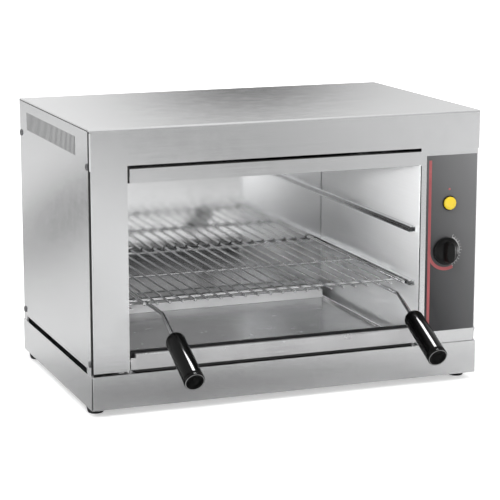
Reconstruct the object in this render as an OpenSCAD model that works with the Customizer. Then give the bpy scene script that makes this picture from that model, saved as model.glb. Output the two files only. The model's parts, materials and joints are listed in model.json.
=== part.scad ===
/* [Body] */
// Width of the body over its side panels
body_w = 446; // [400:1:520]
// Depth of the body from its front face to its back panel
body_d = 283; // [260:1:340]
// Height of the body above its feet
body_h = 296.5; // [290:0.5:360]
// Thickness of the outer sheets
skin = 1; // [0.8:0.1:1.4]
// Thickness of the cavity's sheets
lining = 0.8; // [0.6:0.1:1.2]
// Inner radius of a fold in a sheet
fold_r = 1.2; // [0.6:0.1:2]
// Width of the open seams round the side panels
seam = 1.2; // [0.4:0.1:2]

/* [Base and feet] */
// Height of the base pan
base_h = 36.5; // [30:0.5:45]
// How far the base pan stands proud of the body
base_proud = 1; // [0.5:0.1:3]
// Width of the flange round the top of the base pan
base_flange = 14; // [10:1:18]
// Outer radius of the base pan's upright corners
base_r = 2.2; // [1.4:0.1:4]
// Height of a rubber foot
foot_h = 8.5; // [6:0.5:20]
// Diameter of a rubber foot
foot_d = 20; // [16:1:28]
// Distance of a foot's centre from the side of the body
foot_side = 10.5; // [10:0.5:40]
// Distance of the front feet's centres from the front
foot_front = 26; // [14:1:60]
// Distance of the back feet's centres from the back
foot_back = 18; // [14:1:60]

/* [Front] */
// Width of the left pillar
pillar_w = 41; // [30:1:60]
// Width of the control side
control_w = 70.5; // [64:0.5:90]
// Height of the top band over the opening
band_h = 39; // [32:0.5:48]
// How much lower the band reaches over the controls
band_drop = 3.5; // [1:0.5:5]
// Gap under the left pillar
pillar_lift = 3; // [1:0.5:5]
// Height of the strip over the opening
header_h = 16; // [10:0.5:24]
// Dark gap over and beside that strip
header_gap = 2.8; // [1.5:0.1:4]
// Height of the top edge of the sill above the base
sill_top = 22.5; // [20:0.5:30]

/* [Controls] */
// Bare steel left of the control overlay
overlay_left = 7.5; // [4:0.5:12]
// Bare steel under the control overlay
overlay_bottom = 14.5; // [6:0.5:24]
// Thickness of the control overlay
overlay_t = 0.6; // [0.3:0.1:1]
// Width of the red band
red_w = 4.4; // [2:0.2:6]
// Height of the knob's centre above the base
knob_z = 105; // [80:0.5:130]
// Distance of the knob's centre from the right side
knob_x = 39; // [30:0.5:44]
// Diameter of the knob
knob_d = 30.8; // [24:0.4:32]
// Height of the knob
knob_h = 15; // [10:0.5:22]
// Height of the lamp above the knob
lamp_rise = 53.5; // [36:0.5:80]
// Distance of the lamp's centre from the right side
lamp_x = 35.5; // [26:0.5:44]
// Diameter of the lamp's lens
lamp_d = 14.4; // [10:0.2:18]
// Diameter of the timer's shaft
shaft_d = 6; // [5:0.5:8]
// Radial running clearance of the shaft
shaft_gap = 0.05; // [0.02:0.01:0.1]

/* [Rack] */
// Height of the lower rails above the base
rail_low = 66.9; // [50:0.1:90]
// Distance from the lower to the upper rails
rail_step = 60.5; // [40:0.5:100]
// Width of a rail
rail_w = 7; // [6:0.5:12]
// Diameter of the rack's frame rods
rod_d = 4; // [3:0.25:6]
// Diameter of the rack's wires
wire_d = 2.5; // [1.5:0.25:4]
// Distance from one wire to the next
wire_pitch = 14.2; // [10:0.1:24]
// Distance of the rack's side rods from the cavity walls
rack_side = 17.9; // [10:0.1:24]
// Distance from the wires' front ends to the front rod
wire_tip = 33; // [6:1:40]
// Clearance under the rack and the crumb tray
slide_gap = 0.3; // [0.1:0.1:1]
// Diameter of a handle grip
grip_d = 22; // [16:0.5:26]
// Length of a handle grip
grip_l = 73; // [50:1:100]
// Downward slope of a handle
grip_slope = 25.5; // [5:0.5:40]
// Straight rod between the bend and the grip
grip_neck = 34.5; // [20:0.5:60]

/* [Crumb tray] */
// Height of the tray's front lip
lip_h = 17; // [12:0.5:19]
// Depth of the lip's top
lip_fold = 5; // [2:0.5:8]
// Gap between the lip and the base
lip_lift = 4; // [1.5:0.5:6]
// Depth of the tray behind its lip
tray_d = 246; // [180:1:250]
// Height of the tray's side walls
tray_wall = 4; // [3:0.5:7]
// Height of the tray's back wall
tray_back = 12; // [6:0.5:14]

/* [Heating] */
// Diameter of a heating tube
tube_d = 8.5; // [6.5:0.5:10]
// Radius of a heating tube's return bend
tube_bend = 24; // [16:1:28]
// Drop of the tubes below the ceiling
tube_drop = 16; // [10:0.5:24]

/* [Vents] */
// Length of a vent along the side
vent_l = 202; // [120:1:220]
// Height of the vent slots
vent_h = 20; // [10:1:26]
// Width of one vent slot
slot_w = 2.2; // [1.5:0.1:4]
// Distance from one vent slot to the next
slot_pitch = 5.05; // [3.5:0.05:9]
// Diameter of a screw head
screw_d = 7.4; // [5:0.2:10]

/* [Hidden] */
$fn = 48;

// Colours
steel_c = "#c6c7c9";
bright_c = "#d4d5d6";
black_c = "#1b1b1c";
rubber_c = "#2a2a2a";
panel_c = "#6a6b6d";
red_c = "#b8343c";
amber_c = "#e8b51e";
tube_c = "#5d5a57";
ceramic_c = "#e6e2d6";
chrome_c = "#b4b6b9";

// Heights above the bench, and places across the front
base_top = foot_h + base_h;
body_top = foot_h + body_h;
open_l = -body_w / 2 + pillar_w;
open_r = body_w / 2 - control_w;
open_mid = (open_l + open_r) / 2;
open_top = body_top - band_h;
header_top = open_top - header_gap;
header_low = header_top - header_h;
frame_y = skin;
overlay_y = frame_y - overlay_t;
seat = 0.1;

// Cavity sheets
floor_z = base_top + seat;
floor_top = floor_z + lining;
floor_front = 8;
wing = 10;
back_gap = 3;
back_wall_y = body_d - skin - back_gap - lining;
ceiling_z = header_top - skin - lining - seat;
wall_lip = 9;
pillar_low = base_top + pillar_lift;

// The front's left edge turns back round the corner, and the side panels start behind it
edge_turn = fold_r + skin + 0.3;
panel_front = edge_turn + seam / 2;
bend_relief = 1.5;
turn_top = body_top - fold_r - skin;
bend_lap = 0.2;

// Feet: front left, front right, back left, back right
foot_places = [
    for (y = [foot_front, body_d - foot_back], x = [-1, 1])
        [x * (body_w / 2 - foot_side), y]
];

// Corner posts, side panels and their screws
post_w = 14;
post_t = 1.2;
screw_in = 7;
screw_shank = 3.9;
screw_hole = 4.2;
screw_head_h = 1.6;
screw_len = 9;
panel_low = base_top + 5.5;
tab_l = 16.5;
panel_top = body_top - skin;
screw_low = 12.5;
screw_high = 39;
side_screws_z = [base_top + screw_low, body_top - screw_high];
vent_back = 33;
vent_drop = 13;
vent_top = body_top - vent_drop;

// Back panel
panel_edge = 0.4;
panel_y = body_d - 2 * skin - panel_edge;
back_screw_in = 9;
back_screw_low = 30;
back_screw_high = 55;
back_screws_z = [
    base_top + back_screw_low, (base_top + body_top) / 2, body_top - back_screw_high
];
louvre_l = 34;
louvre_h = 3;
louvre_pitch = 9;
louvre_rows = 9;
base_slots = 6;
base_slot_y = 60;
base_slot_pitch = 14;
gland_d = 16;
gland_out = 12;
gland_bore = 8;
gland_side = 36;
gland_rise = 24;
gland_x = body_w / 2 - gland_side;
gland_z = base_top + gland_rise;

// Controls
overlay_l = open_r + overlay_left;
overlay_r = body_w / 2 - 2.5;
overlay_top = open_top - 9;
overlay_low = base_top + overlay_bottom;
knob_cx = body_w / 2 - knob_x;
knob_cz = base_top + knob_z;
lamp_cx = body_w / 2 - lamp_x;
lamp_cz = knob_cz + lamp_rise;
red_edge = 1.7;
red_r = knob_cx - overlay_l - red_edge - red_w / 2;
red_start = 15;
red_end = 30;
neck_d = shaft_d + 3.6;
nut_d = neck_d + 5;
nut_t = 2;
knob_gap = 0.5;
knob_base_h = 4.5;
timer_w = 38;
timer_h = 36;
timer_deep = 30;
shaft_in = 12;
lamp_out = 4;
lamp_rim = 1.3;
lamp_body_d = lamp_d - 2;
lamp_body_l = 26;

// Rails and rack, the rack's cross rods running in the lower rails
rail_t = 0.8;
rail_front = 11;
rail_play = 0.6;
rail_in = slide_gap + rod_d + rail_play;
rod_gap = 2.5;
rail_heights = [base_top + rail_low, base_top + rail_low + rail_step];
rack_z = base_top + rail_low + slide_gap + rod_d / 2;
rack_l = open_l + rack_side;
rack_r = open_r - rack_side;
side_z = rack_z + rod_d;
wire_z = rack_z + (rod_d + wire_d) / 2;
wire_front = 4;
wire_back = back_wall_y - 3;
rod_front = wire_front + wire_tip;
rod_step = 114;
rod_mid = rod_front + rod_step;
rod_back = wire_back - 3;
wire_count = floor((rack_r - rack_l - wire_pitch * 0.6) / wire_pitch);
wire_first = (rack_l + rack_r) / 2 - (wire_count - 1) * wire_pitch / 2;
handle_d = rod_d;
handle_in = wire_first - rack_l;
handle_x = [rack_l + handle_in, rack_r - handle_in];
handle_z = rack_z - (rod_d + handle_d) / 2;
handle_start = rod_mid + 6;
bend_r = 16;
bend_y = -10;
bend_full = 0.02;
grip_edge = 1.2;
grip_bore = handle_d + 0.1;
rod_in_grip = grip_l * 0.8;

// Start of the slope, and the grip's inner end, as distance in front of the face and height
slope_y = bend_y - bend_r * sin(grip_slope);
slope_z = handle_z - bend_r * (1 - cos(grip_slope));
grip_y = slope_y - grip_neck * cos(grip_slope);
grip_z = slope_z - grip_neck * sin(grip_slope);
grip_reach = -grip_y + (grip_l - grip_edge) * cos(grip_slope)
    + (grip_d / 2 - grip_edge) * sin(grip_slope) + grip_edge;

// Tray
tray_t = 0.8;
tray_z = floor_top + slide_gap;
lip_z = base_top + lip_lift;
lip_top = lip_z + lip_h;
tray_side = 9;
lip_side = 7;
ear_h = 12.5;
ear_gap = 1.6;
ear_back = 1.6;
sill_y = lip_fold + 1;
sill_w = 2.4;
sill_low = tray_z + max(tray_wall, tray_back) + 1.5;
sill_z = base_top + sill_top;

// Heating elements
tube_z = ceiling_z - tube_drop;
tube_in = 24;
tube_out = 16;
tube_left = open_l + tube_in;
tube_right = open_r + lining + tube_out;
tube_centres = [back_wall_y * 0.33, back_wall_y * 0.67];
tube_legs = [for (c = tube_centres, s = [-1, 1]) c + s * tube_bend];
bush_d = 14;
bush_l = 7;
bracket_in = 70;
bracket_x = open_l + bracket_in;
bracket_t = 1.2;
bracket_edge = 7;
bracket_gap = 0.3;
stud_d = 4;
stud_l = 8;
blade_l = 9;

// Where the front face lies, so that the origin is at the centre of the whole outline
face_y = (grip_reach - body_d - gland_out) / 2;

// A flat outline (y, z) as a sheet or bar that runs along X
module along_x(x, l) {
    translate([x, 0, 0])
        rotate([90, 0, 90])
            linear_extrude(l) children();
}

// A flat outline (x, z) as a sheet or bar that runs along Y
module along_y(y, l) {
    translate([0, y + l, 0])
        rotate([90, 0, 0])
            linear_extrude(l) children();
}

// A flat outline (x, y) as a sheet or post that runs up
module along_z(z, l) {
    translate([0, 0, z])
        linear_extrude(l) children();
}

// A rod or turned piece with its axis along Y, which points to the front from y
module to_front(x, y, z) {
    translate([x, y, z])
        rotate([90, 0, 0]) children();
}

// A piece of the machine in its colour, in its place behind or before the front face
module placed(c) {
    color(c)
        translate([0, face_y, 0]) children();
}

// The points of one face of a folded sheet. The path is the sheet's right-hand face, off is the
// distance to the left of it, r the inner radius of each fold and t the sheet's thickness.
function unit(v) = v / norm(v);
function to_left(v) = [-v[1], v[0]];
function turned(v, a) = [v[0] * cos(a) - v[1] * sin(a), v[0] * sin(a) + v[1] * cos(a)];
function fold_points(p, off, r, t, n = 4) = [
    for (i = [0 : len(p) - 1])
        let (
            into = unit(i == 0 ? p[1] - p[0] : p[i] - p[i - 1]),
            out = unit(i == len(p) - 1 ? into : p[i + 1] - p[i]),
            side = into[0] * out[1] - into[1] * out[0],
            s = side > 0 ? 1 : -1,
            angle = acos(into * out),
            path_r = side > 0 ? r + t : r,
            arc_r = path_r - s * off,
            start = p[i] - into * path_r * tan(angle / 2),
            centre = start + s * path_r * to_left(into)
        )
        each i == 0 || i == len(p) - 1
            ? [p[i] + off * to_left(into)]
            : [for (k = [0 : n]) centre - s * arc_r * turned(to_left(into), s * angle * k / n)]
];

// The outline of a sheet of thickness t folded along the path p
module folded(p, t, r = fold_r) {
    right = fold_points(p, 0, r, t);
    left = fold_points(p, t, r, t);
    polygon(concat(right, [for (i = [len(left) - 1 : -1 : 0]) left[i]]));
}

// A flat rectangle between two places
module box_2d(x0, x1, y0, y1) {
    translate([x0, y0]) square([x1 - x0, y1 - y0]);
}

// A flat rectangle round the origin, with rounded corners
module rounded_2d(w, d, r) {
    square([w - 2 * r, d], center = true);
    square([w, d - 2 * r], center = true);
    for (x = [-1, 1], y = [-1, 1])
        translate([x * (w / 2 - r), y * (d / 2 - r)]) circle(r = r);
}

// A closed pan with a flange round its top
module base_pan() {
    w = body_w + 2 * base_proud;
    d = body_d + 2 * base_proud;
    in = base_flange + base_proud;
    placed(steel_c) difference() {
        translate([0, body_d / 2, 0]) difference() {
            along_z(foot_h, base_h) rounded_2d(w, d, base_r);
            along_z(foot_h + skin, base_h - 2 * skin)
                rounded_2d(w - 2 * skin, d - 2 * skin, base_r - skin);
            along_z(base_top - 2 * skin, 3 * skin)
                square([w - 2 * in, d - 2 * in], center = true);
        }
        // the flange is cut away under the tray's lip
        translate([open_l + lip_side, skin - base_proud, base_top - 2 * skin])
            cube([open_r - open_l - 2 * lip_side, in, 3 * skin]);
        for (p = foot_places)
            translate([p[0], p[1], foot_h - skin]) cylinder(d = screw_hole, h = 3 * skin);
        for (i = [0 : base_slots - 1])
            translate([gland_x - louvre_l / 2, base_slot_y + i * base_slot_pitch, foot_h - skin])
                cube([louvre_l, louvre_h, 3 * skin]);
    }
}

// A tapered foot, hollow at the bottom for its screw
module foot(place) {
    recess_d = screw_d + 2;
    placed(rubber_c)
        translate([place[0], place[1], 0]) difference() {
            rotate_extrude() polygon([
                [0, 0], [foot_d / 2 - 2.2, 0], [foot_d / 2 - 1.4, 0.8],
                [foot_d / 2, foot_h - 1.5], [foot_d / 2, foot_h], [0, foot_h]
            ]);
            translate([0, 0, -1]) cylinder(d = recess_d, h = foot_h / 2 + 1);
            cylinder(d = screw_hole, h = foot_h + 1);
        }
}

module foot_screws() {
    placed(chrome_c) for (p = foot_places)
        translate([p[0], p[1], foot_h / 2 - screw_head_h]) union() {
            cylinder(d = screw_d, h = screw_head_h);
            cylinder(d = screw_shank, h = foot_h / 2 + screw_head_h + skin + 3);
        }
}

// One sheet folded over the top: its front is cut to the top band and the left pillar
module top_cover() {
    hem = 12;
    left = -body_w / 2;
    placed(steel_c) union() {
        difference() {
            along_x(left, body_w) folded([
                [body_d, body_top - hem], [body_d, body_top], [0, body_top], [0, pillar_low]
            ], skin);
            along_y(-skin, 4 * skin) box_2d(open_l, open_r, pillar_low - 1, open_top);
            along_y(-skin, 4 * skin)
                box_2d(open_r - 1, body_w / 2 + 1, pillar_low - 1, open_top - band_drop);
            along_y(-skin, 4 * skin)
                box_2d(left - 1, left + edge_turn, pillar_low - 1, turn_top);
        }
        along_z(pillar_low, turn_top - bend_relief - pillar_low) folded([
            [left, edge_turn], [left, 0], [left + edge_turn + bend_lap, 0]
        ], skin);
    }
}

// A side panel's outline (y, z), with its slots, screw holes and the gap along the base
module side_outline() {
    y0 = panel_front;
    y1 = body_d - skin;
    slots = floor((vent_l - slot_w) / slot_pitch);
    vent_end = body_d - vent_back;
    difference() {
        box_2d(y0, y1, base_top + seat, panel_top);
        box_2d(y0 + tab_l, y1 - tab_l * 0.7, base_top, panel_low);
        for (i = [0 : slots])
            translate([vent_end - slot_w - i * slot_pitch, vent_top - vent_h])
                square([slot_w, vent_h]);
        for (y = [screw_in, body_d - screw_in], z = side_screws_z)
            translate([y, z]) circle(d = screw_hole);
    }
}

// A side panel, with its fold under the top cover
module side_panel(right) {
    fold_w = 10;
    fold_in = post_w + 2 * skin;
    placed(steel_c) mirror([right ? 1 : 0, 0, 0]) union() {
        along_x(-body_w / 2, skin) side_outline();
        translate([-body_w / 2, panel_front + fold_in, panel_top - skin])
            cube([fold_w, body_d - skin - panel_front - 2 * fold_in, skin]);
    }
}

module back_panel() {
    x1 = body_w / 2 - skin - panel_edge;
    placed(steel_c) along_y(panel_y, skin) difference() {
        box_2d(-x1, x1, base_top + seat, panel_top - panel_edge);
        for (x = [-1, 1], z = back_screws_z)
            translate([x * (body_w / 2 - back_screw_in), z]) circle(d = screw_hole);
        for (i = [0 : louvre_rows - 1])
            translate([gland_x - louvre_l / 2, gland_z + 40 + i * louvre_pitch])
                square([louvre_l, louvre_h]);
        translate([gland_x, gland_z]) circle(d = gland_d);
    }
}

// One corner post's outline, with its corner at the origin and its legs along +X and +Y
module post_outline() {
    folded([[0, post_w], [0, 0], [post_w, 0]], post_t);
}

// A post inside a corner of the body, with its legs behind the panels and holes for their screws.
// It stops short of the seam under the left pillar.
module post(right, back) {
    x = body_w / 2 - skin;
    y = back ? panel_y : right ? frame_y + skin : skin;
    z0 = base_top + seat;
    placed(bright_c) mirror([right ? 1 : 0, 0, 0]) difference() {
        along_z(z0, panel_top - skin - z0)
            translate([-x, y]) mirror([0, back ? 1 : 0]) post_outline();
        for (z = side_screws_z)
            translate([-body_w / 2, back ? body_d - screw_in : screw_in, z])
                rotate([0, 90, 0]) cylinder(d = screw_shank, h = post_w);
        for (z = back_screws_z)
            to_front(back_screw_in - body_w / 2, body_d, z)
                cylinder(d = screw_shank, h = post_w);
        if (!back && !right)
            translate([-x + post_t, 0, 0]) cube([post_w, post_t + 2 * skin, pillar_low + skin]);
    }
}

// A pan-head screw whose head stands up from the origin, with a cross slot
module screw() {
    slot = 1;
    difference() {
        union() {
            rotate_extrude() polygon([
                [0, 0], [screw_d / 2, 0], [screw_d / 2, screw_head_h * 0.45],
                [screw_d / 2 - 0.7, screw_head_h * 0.85], [screw_d / 2 - 1.6, screw_head_h],
                [0, screw_head_h]
            ]);
            translate([0, 0, -screw_len]) cylinder(d = screw_shank, h = screw_len + 0.1);
        }
        translate([0, 0, screw_head_h]) {
            cube([screw_d * 0.55, slot, 1.4], center = true);
            cube([slot, screw_d * 0.55, 1.4], center = true);
        }
    }
}

module side_screws() {
    placed(chrome_c) for (s = [-1, 1], y = [screw_in, body_d - screw_in], z = side_screws_z)
        translate([s * body_w / 2, y, z]) rotate([0, s * 90, 0]) screw();
}

module back_screws() {
    y = panel_y + skin;
    placed(chrome_c) for (s = [-1, 1], z = back_screws_z)
        translate([s * (body_w / 2 - back_screw_in), y, z]) rotate([-90, 0, 0]) screw();
}

// The strip over the opening and the plate behind the controls are one sheet
module front_frame() {
    right = body_w / 2 - skin - seam;
    strip_l = open_l + header_gap;
    strip_back = 12;
    placed(steel_c) union() {
        along_y(frame_y, skin) difference() {
            union() {
                box_2d(strip_l, open_r + 2, header_low, header_top);
                box_2d(open_r, right, base_top + seat, open_top - band_drop + 6);
            }
            translate([knob_cx, knob_cz]) circle(d = neck_d + 0.4);
            translate([lamp_cx, lamp_cz]) circle(d = lamp_body_d + 0.4);
        }
        translate([strip_l, frame_y, header_low])
            cube([open_r - seat - strip_l, strip_back, skin]);
    }
}

module control_overlay() {
    placed(panel_c) along_y(overlay_y, overlay_t) difference() {
        box_2d(overlay_l, overlay_r, overlay_low, overlay_top);
        translate([knob_cx, knob_cz]) circle(d = nut_d + 0.6);
        translate([lamp_cx, lamp_cz]) circle(d = lamp_body_d + 0.4);
    }
}

// The red band runs down the overlay, and a bow of it goes round the knob
module red_band() {
    t = 0.2;
    far = 2 * red_r;
    x0 = knob_cx - red_r - red_w / 2;
    placed(red_c) along_y(overlay_y - t, t) union() {
        box_2d(x0, x0 + red_w, overlay_low + 3.5, overlay_top - 5);
        translate([knob_cx, knob_cz]) difference() {
            circle(r = red_r + red_w / 2);
            circle(r = red_r - red_w / 2);
            polygon([
                [0, 0], [-far, far * tan(red_start)], [-far, far], [far, far], [far, -far],
                [far * tan(red_end), -far]
            ]);
        }
    }
}

// A hemmed bar across the opening, behind the tray's lip and over the tray
module front_sill() {
    placed(steel_c) along_x(open_l + seat, open_r - open_l - 2 * seat)
        folded([[sill_y, sill_low], [sill_y, sill_z], [sill_y + sill_w, sill_z],
            [sill_y + sill_w, sill_low]], lining, 0.2);
}

module cavity_floor() {
    placed(bright_c) along_z(floor_z, lining)
        box_2d(open_l - wing, open_r + wing, floor_front, back_wall_y - seat);
}

// The left wall's outline seen from above, with its folds away from the cavity
module wall_outline(front) {
    folded([
        [open_l - wall_lip, front], [open_l, front], [open_l, back_wall_y - seat],
        [open_l - wall_lip, back_wall_y - seat]
    ], lining);
}

module cavity_left_wall() {
    placed(bright_c) difference() {
        along_z(floor_top, ceiling_z - floor_top) wall_outline(skin + seat);
        translate([open_l - 2 * wall_lip, 0, 0])
            cube([2 * wall_lip - lining - fold_r, 4 * skin, pillar_low + skin]);
    }
}

module cavity_right_wall() {
    placed(bright_c) difference() {
        along_z(floor_top, ceiling_z - floor_top)
            translate([open_l + open_r, 0]) mirror([1, 0]) wall_outline(frame_y + skin + seat);
        for (y = tube_legs)
            translate([open_r - 2, y, tube_z]) rotate([0, 90, 0]) cylinder(d = tube_d + 1, h = 8);
    }
}

module cavity_back_wall() {
    placed(bright_c) along_y(back_wall_y, lining)
        box_2d(open_l - wing, open_r + wing, floor_z, ceiling_z + lining);
}

// The reflector over the tubes, turned down at the front and the back between the walls
module cavity_ceiling() {
    y0 = frame_y + 2 * skin;
    y1 = back_wall_y - seat;
    drop = 8;
    top = ceiling_z + lining;
    placed(bright_c) difference() {
        along_x(open_l - wing, open_r - open_l + 2 * wing)
            folded([[y1, top - drop], [y1, top], [y0, top], [y0, top - drop]], lining);
        for (x = [open_l - 2 * wing, open_r - 0.4])
            translate([x, 0, ceiling_z - drop]) cube([2 * wing + 0.4, body_d, drop]);
    }
}

// A rail's outline (x, z) on the left wall: a channel open to the cavity, with its ledge at z
module rail_outline(z) {
    top = z + rail_in + rail_t;
    folded([
        [open_l + rail_w, top], [open_l, top], [open_l, z - rail_t],
        [open_l + rail_w, z - rail_t]
    ], rail_t, 0.4);
}

// A rail along a wall, from behind the front to the back wall
module rail(z, right) {
    l = back_wall_y - seat - rail_front;
    placed(bright_c) along_y(rail_front, l)
        translate([right ? open_l + open_r : 0, 0]) mirror([right ? 1 : 0, 0]) rail_outline(z);
}

// A hairpin of heating tube round the place y, with its bend on the left
module element(y) {
    bend_x = tube_left + tube_bend;
    placed(tube_c) union() {
        for (s = [-1, 1])
            translate([bend_x, y + s * tube_bend, tube_z])
                rotate([0, 90, 0]) cylinder(d = tube_d, h = tube_right - bend_x);
        translate([bend_x, y, tube_z]) rotate([0, 0, 90])
            rotate_extrude(angle = 180) translate([tube_bend, 0]) circle(d = tube_d);
    }
}

// A hanger that carries an element near its bend
module element_bracket(y) {
    half = tube_bend + tube_d / 2 + bracket_edge;
    notch = tube_bend - tube_d / 2 - bracket_edge;
    placed(bright_c) along_x(bracket_x, bracket_t) difference() {
        box_2d(y - half, y + half, tube_z - tube_d / 2 - 2.5, ceiling_z);
        for (s = [-1, 1])
            translate([y + s * tube_bend, tube_z]) circle(d = tube_d + 2 * bracket_gap);
        box_2d(y - notch, y + notch, tube_z - tube_d, tube_z + tube_d / 2);
    }
}

module element_bushes() {
    placed(ceramic_c) for (y = tube_legs)
        translate([open_r + lining, y, tube_z]) rotate([0, 90, 0]) difference() {
            cylinder(d = bush_d, h = bush_l);
            translate([0, 0, -1]) cylinder(d = tube_d + 0.1, h = bush_l + 2);
        }
}

module element_terminals() {
    placed(chrome_c) for (y = tube_legs)
        translate([tube_right, y, tube_z]) union() {
            rotate([0, 90, 0]) cylinder(d = stud_d, h = stud_l);
            translate([stud_l - 1, -3.15, -0.4]) cube([blade_l, 6.3, 0.8]);
        }
}

module timer_body() {
    back = frame_y + skin;
    placed(ceramic_c) difference() {
        union() {
            translate([knob_cx - timer_w / 2, back, knob_cz - timer_h / 2])
                cube([timer_w, timer_deep, timer_h]);
            to_front(knob_cx, back + 1, knob_cz)
                cylinder(d = neck_d, h = back + 1 - overlay_y + nut_t);
        }
        to_front(knob_cx, shaft_in, knob_cz)
            cylinder(r = shaft_d / 2 + shaft_gap, h = shaft_in + 10);
    }
}

module timer_nut() {
    placed(chrome_c) to_front(knob_cx, overlay_y + overlay_t, knob_cz) difference() {
        cylinder(d = nut_d, h = nut_t, $fn = 6);
        translate([0, 0, -1]) cylinder(d = neck_d + 0.1, h = nut_t + 2);
    }
}

module timer_shaft() {
    out = knob_h - 4;
    placed(chrome_c) to_front(knob_cx, shaft_in - 1, knob_cz)
        cylinder(d = shaft_d, h = shaft_in - 1 + out);
}

// A round skirt with a bar across it to turn it by, hollow under the skirt for the nut
module timer_knob() {
    bar_w = knob_d * 0.36;
    face = overlay_y - knob_gap;
    total = knob_h;
    placed(black_c) to_front(knob_cx, face, knob_cz) difference() {
        rotate_extrude() polygon([
            [0, 0], [knob_d / 2, 0], [knob_d / 2, knob_base_h - 1],
            [knob_d / 2 - 1, knob_base_h], [knob_d / 2 - 1.6, total - 1.4],
            [knob_d / 2 - 3, total], [0, total]
        ]);
        for (s = [-1, 1])
            translate([s * (bar_w / 2 + knob_d / 2), 0, knob_base_h + knob_d / 2 - 1])
                rotate([90, 0, 0]) cylinder(r = knob_d / 2, h = knob_d + 2, center = true);
        translate([0, 0, -1]) cylinder(d = nut_d + 3, h = nut_t + 2.2);
        translate([0, 0, -1]) cylinder(d = shaft_d + 0.04, h = total - 2);
        translate([-0.5, knob_d / 2 - 7, total - 0.5]) cube([1, 8, 1]);
    }
}

module pilot_lamp_body() {
    back = frame_y + skin;
    placed(black_c) to_front(lamp_cx, back + lamp_body_l, lamp_cz) union() {
        cylinder(d = lamp_body_d, h = lamp_body_l + back - overlay_y);
        translate([0, 0, lamp_body_l - 3]) cylinder(d = lamp_body_d + 4, h = 3);
        for (s = [-1, 1])
            translate([s * 3 - 0.4, -3.15, -8]) cube([0.8, 6.3, 9]);
        translate([0, 0, lamp_body_l + back - overlay_y]) cylinder(d = lamp_d + 1.6, h = lamp_rim);
    }
}

module pilot_lamp_lens() {
    r = lamp_d / 2;
    placed(amber_c) to_front(lamp_cx, overlay_y - lamp_rim, lamp_cz) rotate_extrude() polygon([
        [0, 0], [r, 0], [r, lamp_out * 0.4],
        for (a = [15 : 15 : 75]) [r * cos(a) * 0.98, lamp_out * (0.4 + 0.6 * sin(a))],
        [0, lamp_out]
    ]);
}

// Three poles on a common strip, screwed to the bottom of the base pan
module terminal_block() {
    poles = 3;
    pole = 12;
    block_back = 70;
    placed(ceramic_c) translate([gland_x - poles * pole / 2, body_d - block_back, foot_h + skin])
        difference() {
            union() {
                cube([poles * pole, 24, 12]);
                for (i = [0 : poles - 1]) translate([i * pole + 1.5, 3, 11]) cube([pole - 3, 18, 9]);
            }
            for (i = [0 : poles - 1], y = [7.5, 16.5])
                translate([i * pole + pole / 2, y, 10]) cylinder(d = 4.5, h = 12);
        }
}

// The inlet for the mains lead: a collar and a domed nut round a through hole
module cable_gland() {
    collar = 4;
    cap = body_d + gland_out - panel_y - skin - collar;
    placed(black_c) translate([gland_x, panel_y, gland_z]) rotate([-90, 0, 0]) difference() {
        union() {
            translate([0, 0, -8]) cylinder(d = gland_d - 0.2, h = 8 + skin + collar);
            translate([0, 0, skin]) cylinder(d = gland_d + 6, h = collar, $fn = 6);
            translate([0, 0, skin + collar]) rotate_extrude() polygon([
                [0, 0], [gland_d / 2 + 1.5, 0], [gland_d / 2 + 1.5, cap - 4],
                [gland_d / 2 - 1, cap], [0, cap]
            ]);
        }
        translate([0, 0, -10]) cylinder(d = gland_bore, h = gland_out + 20);
    }
}

module gland_nut() {
    placed(black_c) translate([gland_x, panel_y, gland_z]) rotate([90, 0, 0]) difference() {
        cylinder(d = gland_d + 6, h = 4, $fn = 6);
        translate([0, 0, -1]) cylinder(d = gland_d, h = 6);
    }
}

// One folded sheet: a floor with low walls, and a front that turns up and over into the lip
module crumb_tray() {
    l = open_l + tray_side;
    r = open_r - tray_side;
    lip_l = open_l + lip_side;
    y0 = lip_fold - tray_t;
    placed(bright_c) union() {
        // floor, side walls and back wall
        along_y(y0, tray_d) folded([
            [l, tray_z + tray_wall], [l, tray_z], [r, tray_z], [r, tray_z + tray_wall]
        ], tray_t, 0.4);
        translate([l, y0 + tray_d - tray_t, tray_z]) cube([r - l, tray_t, tray_back]);
        // front: up from the floor and over into the lip
        along_x(lip_l, open_r - open_l - 2 * lip_side) folded([
            [lip_fold, tray_z], [lip_fold, lip_top], [0, lip_top], [0, lip_z]
        ], tray_t, 0.4);
        // ears at the lip's ends, turned back a little
        for (m = [0, 1])
            translate([m * open_mid * 2, 0]) mirror([m, 0, 0]) along_z(lip_z, ear_h) polygon([
                [lip_l + 0.2, 0], [lip_l + 0.2, tray_t], [open_l + ear_gap, ear_back + tray_t],
                [open_l + ear_gap, ear_back]
            ]);
    }
}

module side_rod(x) {
    placed(chrome_c) to_front(x, wire_back, side_z)
        cylinder(d = rod_d, h = wire_back - wire_front);
}

module cross_rod(y) {
    placed(chrome_c) translate([open_l + rod_gap, y, rack_z]) rotate([0, 90, 0])
        cylinder(d = rod_d, h = open_r - open_l - 2 * rod_gap);
}

module rack_wires() {
    placed(chrome_c) for (i = [0 : wire_count - 1])
        to_front(wire_first + i * wire_pitch, wire_back, wire_z)
            cylinder(d = wire_d, h = wire_back - wire_front, $fn = 24);
}

// A handle rod runs forward under the cross rods and bends down into its grip. The bend is a
// hair fuller than the straights, whose ends lap into it.
module handle_rod(x) {
    placed(chrome_c) union() {
        to_front(x, handle_start, handle_z)
            cylinder(d = handle_d, h = handle_start - bend_y + bend_lap);
        translate([x, bend_y, handle_z - bend_r]) rotate([90, 0, -90]) {
            rotate([0, 0, 90]) rotate_extrude(angle = -grip_slope)
                translate([bend_r, 0]) circle(d = handle_d + bend_full);
            rotate([0, 0, -grip_slope]) translate([-bend_lap, bend_r, 0]) rotate([0, 90, 0])
                cylinder(d = handle_d, h = bend_lap + grip_neck + rod_in_grip);
        }
    }
}

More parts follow.
